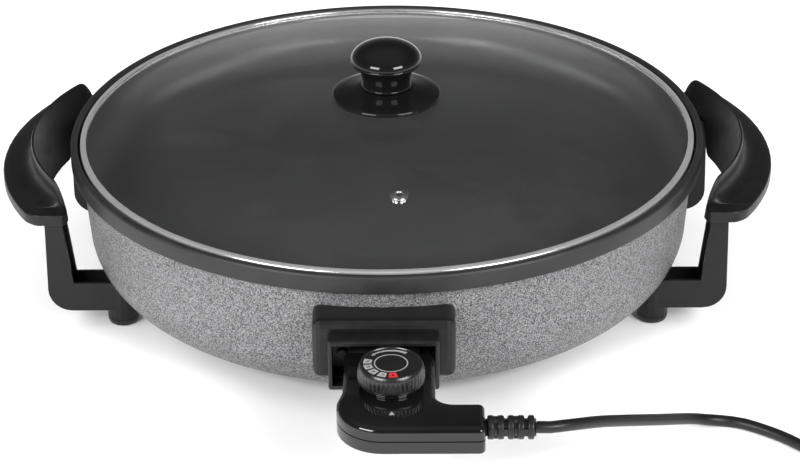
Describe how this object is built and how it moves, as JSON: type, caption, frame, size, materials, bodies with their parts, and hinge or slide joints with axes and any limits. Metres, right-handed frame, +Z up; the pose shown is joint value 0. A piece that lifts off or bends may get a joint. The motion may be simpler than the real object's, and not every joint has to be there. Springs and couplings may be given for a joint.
{
  "type": "electric_skillet",
  "caption": "Round electric skillet with a grey hammered casing, black side grips on footed arms, a lift-off glass lid with a knob, and a plug-in thermostat with its cord.",
  "frame": {"origin": "on the table under the centre of the box round everything but the cord", "axes": "+Z up; -Y is the front, where the thermostat plugs in; +X is the right as seen from the front"},
  "size_m": [0.6363, 0.5184, 0.1672],
  "materials": {
    "nonstick": "satin black non-stick coating on pressed aluminium",
    "hammertone": "grey hammered stoving paint on deep-drawn steel",
    "bakelite": "moulded black phenolic resin, fine matt texture",
    "gloss_black": "polished black thermoset moulding",
    "rubber": "black rubber, slight sheen",
    "steel": "polished stainless steel",
    "aluminium": "mill-finish aluminium",
    "brass": "plain brass",
    "ceramic": "unglazed insulating ceramic",
    "glass": "clear toughened glass",
    "silicone": "translucent heat-proof silicone"
  },
  "bodies": {
    "base": {"cooking_pan": "nonstick", "outer_casing": "hammertone", "heating_element": "steel", "tie_stud": "steel", "spacer_tube": "steel", "tie_nut": "steel", "element_plate": "aluminium", "handle_arm_left_front": "bakelite", "foot_left_front": "rubber", "arm_screw_left_front": "steel", "arm_nut_left_front": "steel", "grip_screw_left_front": "steel", "handle_arm_left_rear": "bakelite", "foot_left_rear": "rubber", "arm_screw_left_rear": "steel", "arm_nut_left_rear": "steel", "grip_screw_left_rear": "steel", "handle_arm_right_front": "bakelite", "foot_right_front": "rubber", "arm_screw_right_front": "steel", "arm_nut_right_front": "steel", "grip_screw_right_front": "steel", "handle_arm_right_rear": "bakelite", "foot_right_rear": "rubber", "arm_screw_right_rear": "steel", "arm_nut_right_rear": "steel", "grip_screw_right_rear": "steel", "grip_left": "bakelite", "grip_right": "bakelite", "terminal_box": "bakelite", "socket_cup": "bakelite", "mounting_block": "ceramic", "sensor_guide": "brass", "terminal_pin_left": "steel", "terminal_pin_right": "steel", "socket_screw_left": "steel", "socket_screw_right": "steel"},
    "lid": {"lid_glass": "glass", "lid_band": "steel", "knob_screw": "steel", "vent_eyelet": "steel", "knob_base": "gloss_black", "knob": "gloss_black", "knob_gasket": "silicone"},
    "probe": {"probe_upper_shell": "gloss_black", "probe_lower_shell": "gloss_black", "dial_collar": "gloss_black", "probe_screw_left": "steel", "probe_screw_right": "steel", "sensor_rod": "steel", "contact_block": "ceramic", "thermostat_unit": "ceramic", "contact_sleeve_left": "brass", "contact_sleeve_right": "brass", "strain_relief": "rubber", "cord": "rubber", "cord_coil": "rubber", "plug": "rubber"},
    "dial": {"dial": "gloss_black", "dial_shaft": "steel"}
  },
  "joints": [
    {"name": "lid_lift", "type": "slide", "parent": "base", "child": "lid", "axis": [0, 0, 1], "range_m": [0, 0.2]},
    {"name": "probe_pull", "type": "slide", "parent": "base", "child": "probe", "axis": [0, -1, 0], "range_m": [0, 0.1]},
    {"name": "dial_turn", "type": "hinge", "parent": "probe", "child": "dial", "pos_m": [0.0048, -0.21095, 0.0756], "axis": [0, 0, 1], "range_deg": [0, 106]}
  ]
}
